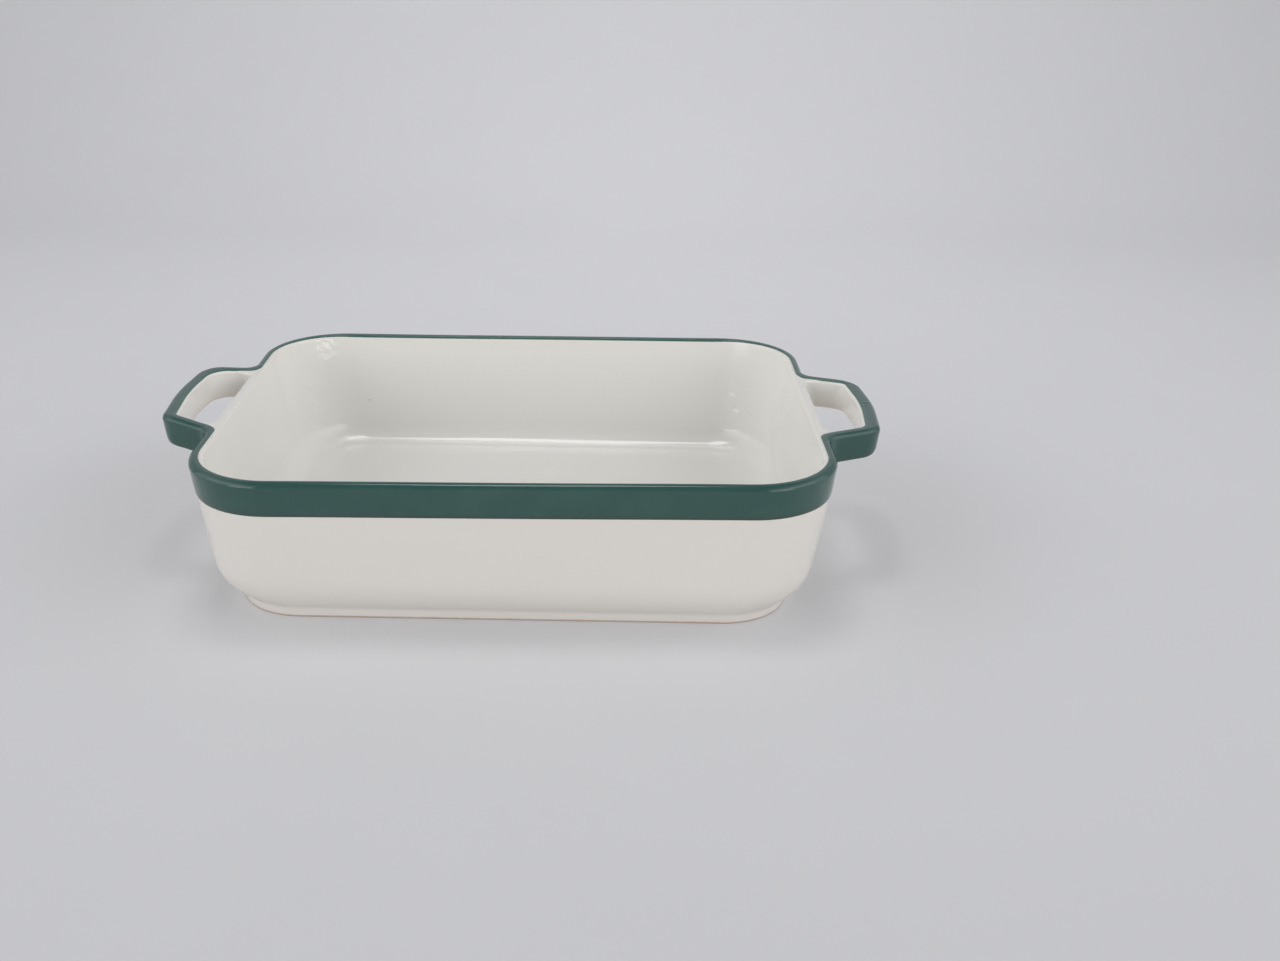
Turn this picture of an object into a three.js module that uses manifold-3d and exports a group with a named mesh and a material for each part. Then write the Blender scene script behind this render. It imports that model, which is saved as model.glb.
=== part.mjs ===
// Glazed stoneware roasting dish: a rectangular basin on a foot ring, with a loop handle at each short end,
// a white glaze inside and out, and one unbroken band of dark green glaze over the rim and both handles.
// Millimetres, +Z up. The origin is on the table under the middle of the dish, with the handles at +X and -X.

import * as THREE from "three";
import Module from "manifold-3d";

const wasm = await Module();
wasm.setup();

// Overall size, over the green band
const RIM_LENGTH = 285;
const RIM_WIDTH = 221;
const HEIGHT = 71.2;

// Glaze coats, and the hair gap between pieces that are made apart
const WHITE_COAT = 0.5;
const GREEN_COAT = 0.4;
const SEAT_GAP = 0.05;

// Basin: plan corners, leaning walls, rounded lip, bend above the foot, fillet and floor inside
const CORNER_RADIUS = 38.5;
const CORNER_TAPER = 0.5;
const OUTER_LEAN = 0.117;
const INNER_LEAN = 0.14;
const LIP_WIDTH = 5.2;
const LIP_OUTER_RADIUS = 2.2;
const LIP_INNER_RADIUS = 1.6;
const BEND_RADIUS = 27;
const BEND_CENTRE_HEIGHT = 24;
const FILLET_RADIUS = 12;
const FLOOR_HEIGHT = 13;
const UNDERSIDE_HEIGHT = 5.6;

// Foot ring: set back from the bend above it, leaning in, with eased edges where it stands
const FOOT_HEIGHT = 7.2;
const FOOT_SETBACK = 2;
const FOOT_LEAN = 0.9;
const FOOT_WIDTH = 9;
const FOOT_EDGE = 0.7;

// Handles: half-widths at the wall and at the outer end, reach beyond the rim, and the bar's own section
const NECK_HALF_WIDTH = 46.5;
const END_HALF_WIDTH = 36.8;
const HANDLE_REACH = 26;
const END_BOW = 1;
const BOW_RADIUS = 500;
const NECK_RADIUS = 9;
const END_RADIUS = 10.5;
const LEG_WIDTH = 6.2;
const BAR_WIDTH = 7.4;
const SLOT_ROOT_RADIUS = 5;
const SLOT_END_RADIUS = 4;
const SLOT_LOWER_END_RADIUS = 10;
const HANDLE_TOP_EDGE = 1;
const HANDLE_LOWER_EDGE = 1.2;

// Handle blank: how deep it starts behind the wall's face, and how far a cutter runs past what it cuts
const BLANK_DEPTH = 6;
const FEATHER_DEPTH = 0.3;
const CUT_PAST = 1;

// Green band: how far it comes down the outside, and how far it reaches in over each top
const BAND_HEIGHT = 15.9;
const STRIPE_ON_LIP = 3.55;
const STRIPE_ON_LEG = 5.2;
const STRIPE_ON_BAR = 6.35;
const STRIPE_NECK_RADIUS = 4;

// Facets on a plan corner, a handle corner, the bowed bar, a small rounding and a large one of the section
const CORNER_STEPS = 8;
const HANDLE_STEPS = 5;
const BOW_STEPS = 4;
const EDGE_STEPS = 3;
const BEND_STEPS = 5;

// The white surface below the lip's rounding is the datum: every inset is measured inwards from its outline
const halfLength = RIM_LENGTH / 2 - GREEN_COAT;
const halfWidth = RIM_WIDTH / 2 - GREEN_COAT;
const crestHeight = HEIGHT - GREEN_COAT;
const outerLipBase = crestHeight - LIP_OUTER_RADIUS;
const innerLipBase = crestHeight - LIP_INNER_RADIUS;
const bandBottom = HEIGHT - BAND_HEIGHT;
const handleBottom = bandBottom - HANDLE_LOWER_EDGE;
const outerInset = (z) => OUTER_LEAN * (outerLipBase - z);
const innerInset = (z) => LIP_WIDTH + INNER_LEAN * (innerLipBase - z);
const degrees = THREE.MathUtils.radToDeg;

// A closed plan outline from its corners, each { x, y, radius, steps }, with every corner rounded by an arc
function roundedLoop(corners) {
  const points = [];
  corners.forEach((corner, i) => {
    const before = corners.at(i - 1);
    const after = corners[(i + 1) % corners.length];
    const apex = new THREE.Vector2(corner.x, corner.y);
    if (!corner.radius) {
      points.push(apex);
      return;
    }
    const toBefore = new THREE.Vector2(before.x, before.y).sub(apex).normalize();
    const toAfter = new THREE.Vector2(after.x, after.y).sub(apex).normalize();
    const halfAngle = Math.acos(toBefore.dot(toAfter)) / 2;
    const start = toBefore.clone().multiplyScalar(corner.radius / Math.tan(halfAngle)).add(apex);
    const middle = toBefore.clone().add(toAfter).setLength(corner.radius / Math.sin(halfAngle)).add(apex);
    const turn = (Math.PI - 2 * halfAngle) * Math.sign(toAfter.cross(toBefore));
    for (let k = 0; k <= corner.steps; k += 1) {
      points.push(start.clone().rotateAround(middle, (turn * k) / corner.steps));
    }
  });
  return points;
}

// The basin's plan at an inset: a rounded rectangle whose corners tighten slowly towards the foot
const basinCorner = (inset, sx, sy) => ({
  x: sx * (halfLength - inset),
  y: sy * (halfWidth - inset),
  radius: CORNER_RADIUS - CORNER_TAPER * inset,
  steps: CORNER_STEPS,
});
function basinLoop(inset) {
  const right = [basinCorner(inset, 1, -1), basinCorner(inset, 1, 1)];
  const left = [basinCorner(inset, -1, 1), basinCorner(inset, -1, -1)];
  return roundedLoop([...right, ...left]);
}

// Where a handle leg's face stands at a given x, on the side of +Y, at an inset from its outer face
const legTaper = (NECK_HALF_WIDTH - END_HALF_WIDTH) / HANDLE_REACH;
const legY = (x, inset) => NECK_HALF_WIDTH - (x - halfLength) * legTaper - inset * Math.hypot(1, legTaper);

const mirrored = (corner) => ({ ...corner, y: -corner.y });

// The corners of the right handle's outline from its front neck to its back neck
function handleCorners(side, leg, bar, neckRadius, endRadius) {
  const neckX = halfLength - side;
  const endX = halfLength + HANDLE_REACH - bar;
  const neck = { x: neckX, y: legY(neckX, leg), radius: neckRadius, steps: HANDLE_STEPS };
  const end = { x: endX, y: legY(endX, leg), radius: endRadius, steps: HANDLE_STEPS };
  const bow = { x: endX + END_BOW, y: 0, radius: BOW_RADIUS, steps: BOW_STEPS };
  return [mirrored(neck), mirrored(end), bow, end, neck];
}

// The whole rim in plan, round the basin's corners, in at each neck and out round each handle
function rimLoop(side, leg = side, bar = side, neckRadius = NECK_RADIUS + side) {
  const handle = handleCorners(side, leg, bar, neckRadius, END_RADIUS - bar);
  const right = [basinCorner(side, 1, -1), ...handle, basinCorner(side, 1, 1)];
  const left = right.map((corner) => ({ ...corner, x: -corner.x, y: -corner.y }));
  return roundedLoop([...right, ...left]);
}

const atHeight = (loop, z) => loop.map((point) => new THREE.Vector3(point.x, point.y, z));

// A solid through plan outlines that run up the outside, over the top and down the inside.
// It closes on itself as a ring, or is capped by its first and last outlines.
function loft(outlines, isRing = false) {
  const count = outlines[0].length;
  const index = [];
  const bands = isRing ? outlines.length : outlines.length - 1;
  for (let k = 0; k < bands; k += 1) {
    const low = k * count;
    const high = ((k + 1) % outlines.length) * count;
    for (let i = 0; i < count; i += 1) {
      const j = (i + 1) % count;
      index.push(low + i, low + j, high + j, low + i, high + j, high + i);
    }
  }
  if (!isRing) {
    const last = (outlines.length - 1) * count;
    const cap = (outline) => THREE.ShapeUtils.triangulateShape(outline, []);
    cap(outlines[0]).forEach(([a, b, c]) => index.push(c, b, a));
    cap(outlines.at(-1)).forEach(([a, b, c]) => index.push(last + a, last + b, last + c));
  }
  return new THREE.BufferGeometry().setFromPoints(outlines.flat()).setIndex(index);
}

// A section's points are (inset, height). An arc's angle is 0 at its outer side and 90 at its top.
function sectionArc(inset, height, radius, from, to, steps) {
  return Array.from({ length: steps + 1 }, (_, k) => {
    const angle = THREE.MathUtils.degToRad(from + ((to - from) * k) / steps);
    return new THREE.Vector2(inset - radius * Math.cos(angle), height + radius * Math.sin(angle));
  });
}

// The same section moved sideways by a distance, into the wall where it is positive
function offsetSection(section, distance) {
  const normals = section.slice(1).map((point, i) => {
    const along = point.clone().sub(section[i]).normalize();
    return new THREE.Vector2(along.y, -along.x);
  });
  return section.map((point, i) => {
    const before = normals[Math.max(i - 1, 0)];
    const after = normals[Math.min(i, normals.length - 1)];
    const miter = before.clone().add(after).normalize();
    return point.clone().addScaledVector(miter, distance / miter.dot(after));
  });
}

// The white surface, from the foot up the outside to the lip's crest, and from there down to the floor
function outerSection() {
  const bendInset = outerInset(BEND_CENTRE_HEIGHT) + BEND_RADIUS * Math.hypot(1, OUTER_LEAN);
  const bendStart = -degrees(Math.asin((BEND_CENTRE_HEIGHT - FOOT_HEIGHT) / BEND_RADIUS));
  const bendEnd = -degrees(Math.atan(OUTER_LEAN));
  return [
    ...sectionArc(bendInset, BEND_CENTRE_HEIGHT, BEND_RADIUS, bendStart, bendEnd, BEND_STEPS),
    ...sectionArc(LIP_OUTER_RADIUS, outerLipBase, LIP_OUTER_RADIUS, 0, 90, EDGE_STEPS),
  ];
}
function innerSection() {
  const filletCentre = FLOOR_HEIGHT + FILLET_RADIUS;
  const filletInset = innerInset(filletCentre) + FILLET_RADIUS * Math.hypot(1, INNER_LEAN);
  const filletStart = -degrees(Math.atan(INNER_LEAN));
  return [
    ...sectionArc(LIP_WIDTH - LIP_INNER_RADIUS, innerLipBase, LIP_INNER_RADIUS, 90, 180, EDGE_STEPS),
    ...sectionArc(filletInset, filletCentre, FILLET_RADIUS, filletStart, -90, BEND_STEPS),
  ];
}

const white = [...outerSection(), ...innerSection()];
const clay = offsetSection(white, WHITE_COAT);
const crest = outerSection().length - 1;
const lipRounding = [crest - EDGE_STEPS, crest + 1];
const basinRing = (point) => atHeight(basinLoop(point.x), point.y);

// Where the foot ring meets the basin: its outer face below the bend, and its inner face
const footTop = clay[0];
const footOuter = footTop.x + FOOT_SETBACK;
const footInner = footOuter + FOOT_WIDTH;

// Basin: underside inside the foot ring, out over the ring, up the wall, over the lip and down to the floor
function basin() {
  const underside = [
    new THREE.Vector2(footInner, UNDERSIDE_HEIGHT),
    new THREE.Vector2(footInner, footTop.y),
    new THREE.Vector2(footOuter, footTop.y),
  ];
  return loft([...underside, ...clay].map(basinRing));
}

// Foot ring: a low ring round the underside, eased where it stands on the table
function footRing() {
  const section = [
    new THREE.Vector2(footInner, footTop.y),
    new THREE.Vector2(footInner, FOOT_EDGE),
    new THREE.Vector2(footInner - FOOT_EDGE, 0),
    new THREE.Vector2(footOuter + FOOT_LEAN + FOOT_EDGE, 0),
    new THREE.Vector2(footOuter + FOOT_LEAN, FOOT_EDGE),
    new THREE.Vector2(footOuter, footTop.y),
  ];
  return loft(section.map(basinRing), true);
}

// Inside glaze: lines the floor and walls, and goes over the lip as far as its crest
function insideGlaze() {
  const againstClay = clay.slice(crest).reverse();
  return loft([...againstClay, ...white.slice(crest)].map(basinRing));
}

// Outside glaze: a skin on the outer wall from the foot to the lip's crest
function outsideGlaze() {
  const againstClay = clay.slice(0, crest + 1).reverse();
  return loft([...white.slice(0, crest + 1), ...againstClay].map(basinRing), true);
}

// Green glaze: one band up the outside and over the top, all round the rim and the handles
function rimGlaze() {
  const coat = (lift) => {
    const lowerEdge = new THREE.Vector2(outerInset(bandBottom) - lift, bandBottom);
    const overLip = offsetSection(white, -lift).slice(...lipRounding);
    return [lowerEdge, ...overLip].map((point) => atHeight(rimLoop(point.x), point.y));
  };
  const stripe = rimLoop(STRIPE_ON_LIP, STRIPE_ON_LEG, STRIPE_ON_BAR, STRIPE_NECK_RADIUS);
  const outside = [...coat(GREEN_COAT), atHeight(stripe, crestHeight + GREEN_COAT)];
  const underneath = [...coat(SEAT_GAP), atHeight(stripe, crestHeight + SEAT_GAP)];
  return loft([...outside, ...underneath.reverse()], true);
}

const toSolid = (geometry) =>
  new wasm.Manifold(
    new wasm.Mesh({
      numProp: 3,
      vertProperties: geometry.getAttribute("position").array,
      triVerts: new Uint32Array(geometry.getIndex().array),
    }),
  );

function toGeometry(solid) {
  const { vertProperties, triVerts } = solid.getMesh();
  const geometry = new THREE.BufferGeometry();
  geometry.setAttribute("position", new THREE.BufferAttribute(vertProperties, 3));
  return geometry.setIndex(new THREE.BufferAttribute(triVerts, 1));
}

// Handle blank: the rim's own outline round one handle, with feet that start behind the end wall's face
function handleBlank() {
  const halfSpan = NECK_HALF_WIDTH + 2 * NECK_RADIUS;
  const blankAt = ({ x: inset, y: z }) => {
    const side = inset + FEATHER_DEPTH;
    const outside = handleCorners(side, inset, inset, NECK_RADIUS + side, END_RADIUS - inset);
    const foot = { x: halfLength - side, y: halfSpan };
    const back = { x: foot.x - BLANK_DEPTH, y: halfSpan };
    return atHeight(roundedLoop([mirrored(back), mirrored(foot), ...outside, foot, back]), z);
  };
  const lowerInset = outerInset(bandBottom) + HANDLE_LOWER_EDGE;
  const lowerRounding = sectionArc(lowerInset, bandBottom, HANDLE_LOWER_EDGE, -90, 0, EDGE_STEPS);
  return loft([...lowerRounding, ...white.slice(...lipRounding)].map(blankAt));
}

// Finger slot: what is cut through the blank between its legs, wider where the edges are rounded.
// Its outer corners are tight at the top and grow rounder towards the underside.
function fingerSlot() {
  const endRadius = (z) =>
    THREE.MathUtils.mapLinear(z, handleBottom, crestHeight, SLOT_LOWER_END_RADIUS, SLOT_END_RADIUS);
  const slotAt = (grow, z) => {
    const wallX = halfLength - outerInset(z) - FEATHER_DEPTH;
    const endX = halfLength + HANDLE_REACH - BAR_WIDTH + grow;
    const leg = LEG_WIDTH - grow;
    const root = { x: wallX, y: legY(wallX, leg), radius: SLOT_ROOT_RADIUS, steps: HANDLE_STEPS };
    const end = { x: endX, y: legY(endX, leg), radius: endRadius(z), steps: HANDLE_STEPS };
    const bow = { x: endX + END_BOW, y: 0, radius: BOW_RADIUS, steps: BOW_STEPS };
    return atHeight(roundedLoop([mirrored(root), mirrored(end), bow, end, root]), z);
  };
  const upperBase = crestHeight - HANDLE_TOP_EDGE;
  const lower = sectionArc(HANDLE_LOWER_EDGE, bandBottom, HANDLE_LOWER_EDGE, -90, 0, EDGE_STEPS);
  const upper = sectionArc(HANDLE_TOP_EDGE, upperBase, HANDLE_TOP_EDGE, 0, 90, EDGE_STEPS);
  return loft([
    slotAt(HANDLE_LOWER_EDGE, handleBottom - CUT_PAST),
    ...[...lower, ...upper].map((point) => slotAt(point.x, point.y)),
    slotAt(HANDLE_TOP_EDGE, crestHeight + CUT_PAST),
  ]);
}

// Handle: the blank less the slot, with its feet cut to sit against the leaning end wall
function handle() {
  const wallAt = (z) => atHeight(basinLoop(outerInset(z) - SEAT_GAP), z);
  const walls = loft([wallAt(handleBottom - CUT_PAST), wallAt(crestHeight + CUT_PAST)]);
  return toGeometry(toSolid(handleBlank()).subtract(toSolid(fingerSlot())).subtract(toSolid(walls)));
}

const BISCUIT = { color: 0xd9cbb8, roughness: 0.85, metalness: 0 };
const WHITE_GLAZE = { color: 0xefece4, roughness: 0.18, metalness: 0 };
const GREEN_GLAZE = { color: 0x1f5145, roughness: 0.15, metalness: 0 };

const dish = new THREE.Group();
function addPiece(name, geometry, finish, turn = 0) {
  geometry.computeVertexNormals();
  const piece = new THREE.Mesh(geometry, new THREE.MeshStandardMaterial(finish));
  piece.name = name;
  piece.rotation.z = turn;
  dish.add(piece);
}

addPiece("basin", basin(), BISCUIT);
addPiece("foot_ring", footRing(), BISCUIT);
addPiece("handle_right", handle(), WHITE_GLAZE);
addPiece("handle_left", handle(), WHITE_GLAZE, Math.PI);
addPiece("inside_glaze", insideGlaze(), WHITE_GLAZE);
addPiece("outside_glaze", outsideGlaze(), WHITE_GLAZE);
addPiece("rim_glaze", rimGlaze(), GREEN_GLAZE);

export default dish;
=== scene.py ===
# Glazed stoneware roasting dish: fine glazes, handles and foot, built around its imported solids.
# Metres, +Z up. The origin is on the table under the middle of the dish, with the handles at +X and -X.

import math

import bpy
from bpy.props import FloatProperty, FloatVectorProperty, PointerProperty
from mathutils import Matrix, Vector, noise


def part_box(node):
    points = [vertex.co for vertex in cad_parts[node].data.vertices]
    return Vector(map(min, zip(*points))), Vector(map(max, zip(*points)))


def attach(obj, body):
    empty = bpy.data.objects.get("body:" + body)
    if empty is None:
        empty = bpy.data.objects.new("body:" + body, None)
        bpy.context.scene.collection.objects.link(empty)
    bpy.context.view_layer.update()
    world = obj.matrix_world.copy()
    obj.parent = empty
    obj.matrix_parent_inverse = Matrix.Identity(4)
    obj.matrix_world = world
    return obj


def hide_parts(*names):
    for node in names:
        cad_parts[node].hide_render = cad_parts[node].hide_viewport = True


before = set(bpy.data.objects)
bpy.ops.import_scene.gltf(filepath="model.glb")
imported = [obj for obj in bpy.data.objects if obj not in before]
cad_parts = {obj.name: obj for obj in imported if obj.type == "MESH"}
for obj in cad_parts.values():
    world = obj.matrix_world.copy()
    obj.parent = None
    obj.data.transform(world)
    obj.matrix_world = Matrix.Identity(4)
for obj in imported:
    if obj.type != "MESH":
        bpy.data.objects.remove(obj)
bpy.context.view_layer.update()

bl_info = {
    "name": "Glazed Roasting Dish",
    "version": (1, 0, 0),
    "blender": (4, 5, 0),
    "location": "View3D > Sidebar > Dish",
    "description": "Dresses a stoneware roasting dish in its white and green glazes and sets it in a studio",
    "category": "Add Mesh",
}

MM = 0.001


def linear(hex_colour):
    """An sRGB hex colour as linear red, green, blue and alpha."""
    channels = [(hex_colour >> shift & 255) / 255 for shift in (16, 8, 0)]
    return (*[c / 12.92 if c <= 0.04045 else ((c + 0.055) / 1.055) ** 2.4 for c in channels], 1.0)


def length(name, description, default):
    """A length that a user would change."""
    return FloatProperty(
        name=name, description=description, default=default, min=0.0, unit="LENGTH", subtype="DISTANCE"
    )


def colour(name, description, hex_colour):
    """A glaze, clay or sheet colour that a user would change."""
    return FloatVectorProperty(
        name=name,
        description=description,
        default=linear(hex_colour),
        size=4,
        min=0.0,
        max=1.0,
        subtype="COLOR",
    )


class DishShape(bpy.types.PropertyGroup):
    rim_length: length("Rim length", "Length over the green band, without the handles", 285 * MM)
    rim_width: length("Rim width", "Width over the green band", 221 * MM)
    height: length("Height", "From the table to the crest of the rim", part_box("rim_glaze")[1].z)
    corner_radius: length("Corner radius", "Plan radius of the four corners at the rim", 38.5 * MM)
    lip_width: length("Lip width", "From the outer to the inner face of the wall at the rim", 5.2 * MM)
    floor_height: length("Floor height", "From the table to the glazed floor inside", 13 * MM)
    foot_height: length("Foot height", "From the table to the bend of the wall", 7.2 * MM)
    band_height: length("Band height", "How far the green glaze comes down the outside", 15.9 * MM)
    neck_half_width: length("Neck half-width", "Half the handle's width where it leaves the wall", 46.5 * MM)
    end_half_width: length("End half-width", "Half the handle's width at its outer end", 36.8 * MM)
    handle_reach: length("Handle reach", "How far a handle stands out from the rim", 25.5 * MM)
    leg_width: length("Leg width", "Width of a handle's legs, seen from above", 6.2 * MM)
    bar_width: length("Bar width", "Width of a handle's outer bar, seen from above", 7.4 * MM)
    left_lift: length("Left handle lift", "How far the kiln has lifted the left handle's end", 2.6 * MM)
    left_draw: length("Left handle draw", "How far the kiln has drawn in the left handle's end", 1.8 * MM)
    right_draw: length("Right handle draw", "How far the kiln has drawn out the right handle's end", 0.8 * MM)
    right_slip: length("Right handle slip", "How far forward of the middle the right handle is", 2.5 * MM)


class DishFinish(bpy.types.PropertyGroup):
    white: colour("White glaze", "Opaque white glaze, inside and out", 0xEFEEE9)
    # Thin white is also the painted tint of warm light over the whole outside
    thin_white_and_warm_light: colour("Thin white glaze", "White glaze where it runs thin over the clay", 0xE8DCD0)
    green: colour("Green glaze", "Dark green glaze on the rim and handles", 0x335650)
    thin_green: colour("Thin green glaze", "Green glaze where it thins on the crest", 0x5F8577)
    green_edge: colour("Green glaze edge", "Lower edge of the green glaze, thin and browner", 0x3A4238)
    clay: colour("Bare clay", "Fired stoneware where the foot is wiped bare", 0xC4B0A0)
    speck: colour("Speck", "Iron specks and pinholes in the white glaze", 0x8C8377)
    opal: colour("Opal sheet", "Sheet that the dish stands on", 0xD8D8DA)
    # The sheet glow is painted light: a pool seen on the sheet that lights nothing, with no lamp behind it
    glow: colour("Sheet glow", "Lamp that is seen through the sheet behind the dish", 0x757576)


# Wall and lip below the sizes above: leans as run over rise, the share of an inset that a corner's
# radius loses, and the radii of the roundings
OUTER_LEAN = 0.117
INNER_LEAN = 0.14
CORNER_TAPER = 0.5
LIP_OUTER_RADIUS = 2.2 * MM
LIP_INNER_RADIUS = 1.6 * MM
BEND_RADIUS = 27 * MM
BEND_CENTRE_HEIGHT = 24 * MM
FILLET_RADIUS = 12 * MM

# Foot ring: set back from the bend, leaning in, with eased edges, a hollow rounding up into the bend and
# a hair of room under the coat that it runs up to
FOOT_SETBACK = 2.4 * MM
FOOT_LEAN = 0.5 * MM
FOOT_WIDTH = 9 * MM
FOOT_EDGE = 0.4 * MM
FOOT_HOLLOW = 4 * MM
FOOT_UNDER_COAT = 0.04 * MM
UNDERSIDE_HEIGHT = 5.6 * MM

# Kiln warp of the foot against the rim: a turn and a share by which it shrank, and a share by which its
# ends drew in, each with the heights between which it fades out
FOOT_TURN = math.radians(-1.2)
FOOT_SHRINK = 0.006
FOOT_WARP_HEIGHTS = (6 * MM, 58 * MM)
FOOT_DRAW = 0.02
FOOT_DRAW_HEIGHTS = (4 * MM, 13 * MM)

# Kiln warp of the rim: a slow wave, cut from the noise at one place, and the rim's rise in the middle,
# towards the right, towards the back and towards both, with the heights between which it comes in
RIM_WAVE = 0.2 * MM
RIM_WAVE_LENGTH = 70 * MM
RIM_WAVE_CUT = 3.7
RIM_RISE = (0.25 * MM, 0.15 * MM, 0.65 * MM, -0.25 * MM)
RIM_WARP_HEIGHTS = (30 * MM, 66 * MM)

# Kiln warp of the handles: where the left one's lift starts before the end wall and is done past it,
# where the right one's slip starts before the wall and fades out along it, and the shares of the slip
# and of the width that the right one's outer end has lost
LIFT_BEFORE = 4 * MM
LIFT_PAST = 22 * MM
SLIP_BEFORE = 8 * MM
SLIP_FADE = (62 * MM, 84 * MM)
SLIP_LOSS = 0.5
RIGHT_PINCH = 0.03

# Handle: bowed outer bar, necks, corners, rounded edges, and how far above the band's lower edge it ends
END_BOW = 3 * MM
BOW_RADIUS = 150 * MM
NECK_RADIUS = 9 * MM
END_RADIUS = 10.5 * MM
BACK_END_RADIUS = 16 * MM
SLOT_ROOT_RADIUS = 5 * MM
SLOT_END_RADIUS = 4 * MM
SLOT_LOWER_END_RADIUS = 10 * MM
SOFT_END_RADIUS = 18 * MM
HANDLE_TOP_EDGE = 1.2 * MM
SLOT_LOWER_EDGE = 2 * MM
LEG_LOWER_EDGE = 2.4 * MM
BAR_LOWER_EDGE = 3.8 * MM
HANDLE_ABOVE_BAND = 1.0 * MM

# A handle's feet: how far they are sunk into the wall, how far out their ends lie from the necks and the
# slot's roots, and how far they dip to stay under the lip, and from what depth on
HANDLE_SUNK = 2.3 * MM
NECK_SPREAD = 2 * NECK_RADIUS
SLOT_SPREAD = -2.4 * SLOT_ROOT_RADIUS
HANDLE_DIP = 0.2 * MM
HANDLE_DIP_START = 1.2 * MM

# Glaze coats, and how far the green one reaches in over each top, falls there and wanders at the back
WHITE_COAT = 0.5 * MM
GREEN_COAT = 0.4 * MM
STRIPE_ON_LIP = 3.55 * MM
STRIPE_ON_LEG = 5.8 * MM
STRIPE_ON_BAR = 6.7 * MM
STRIPE_NECK_RADIUS = 9 * MM
STRIPE_ENDS = (7 * MM, 4 * MM, SOFT_END_RADIUS, 3.6 * MM)
STRIPE_FALL = 0.31 * MM
STRIPE_BACK = (55 * MM, 95 * MM)
STRIPE_BACK_FALL = 1.15 * MM
STRIPE_BACK_WANDER = 1.55 * MM

# How far above a handle's lower edge its green ends, and how far before and past the end wall's face the
# green's lower edge and its stripe change over to a handle's own
GREEN_ABOVE_EDGE = 0.3 * MM
BAND_CHANGE = (3 * MM, 5 * MM)
STRIPE_CHANGE = (2 * MM, 4 * MM)

# How the green coat runs out: down the wall, as the height above its lower edge, its thickness and how
# brown it is, and over the crest, as the share of the way in, its thickness, the share of its fall and
# how worn it looks
GREEN_RUN_OUT = (
    (0, -0.1 * MM, 1),
    (0.05 * MM, 0.08 * MM, 1),
    (0.35 * MM, 0.2 * MM, 0.85),
    (0.9 * MM, 0.32 * MM, 0.45),
    (1.8 * MM, 0.4 * MM, 0.1),
)
GREEN_ON_CREST = (
    (0.3, 0.4 * MM, 0, 0.05),
    (0.6, 0.4 * MM, 0, 0.15),
    (0.8, 0.36 * MM, 0.12, 0.4),
    (0.93, 0.2 * MM, 0.43, 0.8),
    (1.0, -0.1 * MM, 1, 1),
)

# How far the white glaze takes its warmer, darker thin colour: outside, on the foot and the lip, and under,
# along and inside a handle. On the lip and in a slot the glaze runs thin. Over the whole outside the tint is
# painted warm light, and at the foot and along a handle's lower edges it only makes the glaze warmer and
# darker
PAINTED_WARM_LIGHT_OUTSIDE = 0.28
FOOT_WARMTH = 0.35
THIN_LIP = 0.12
UNDER_HANDLE_WARMTH = 0.5
THIN_ON_EDGE = 0.1
THIN_IN_SLOT = 0.05

# A ridge that the brush left on the right handle's bar: its middle and its half-sizes
RIDGE_PLACE = (168 * MM, 1 * MM, 71.4 * MM)
RIDGE_SIZE = (3.5 * MM, 1.1 * MM, 3 * MM)

# Where the inside coat, run over the lip and down, meets the outside coat under the green band
COAT_MEETING_HEIGHT = 62 * MM

# Middle of the painted pool of light on the sheet behind the dish, and the colour of the room round the stage
PAINTED_POOL_MIDDLE = (0.1, 0.75, 0.1)
ROOM_COLOUR = 0xE2E3E6

# Divisions of a plan corner, a handle corner, the bowed bar, the straight runs, the section's arcs, the
# inner wall and the sides of a finger slot, and the rings on the floor, in from the fillet
CORNER_STEPS = 20
HANDLE_STEPS = 10
BOW_STEPS = 6
SIDE_RUN = 28
SHORT_RUN = 4
EDGE_STEPS = 7
BEND_STEPS = 12
INNER_WALL_STEPS = 8
SLOT_STEPS = 4
FLOOR_RINGS = (12 * MM, 26 * MM, 42 * MM)


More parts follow.
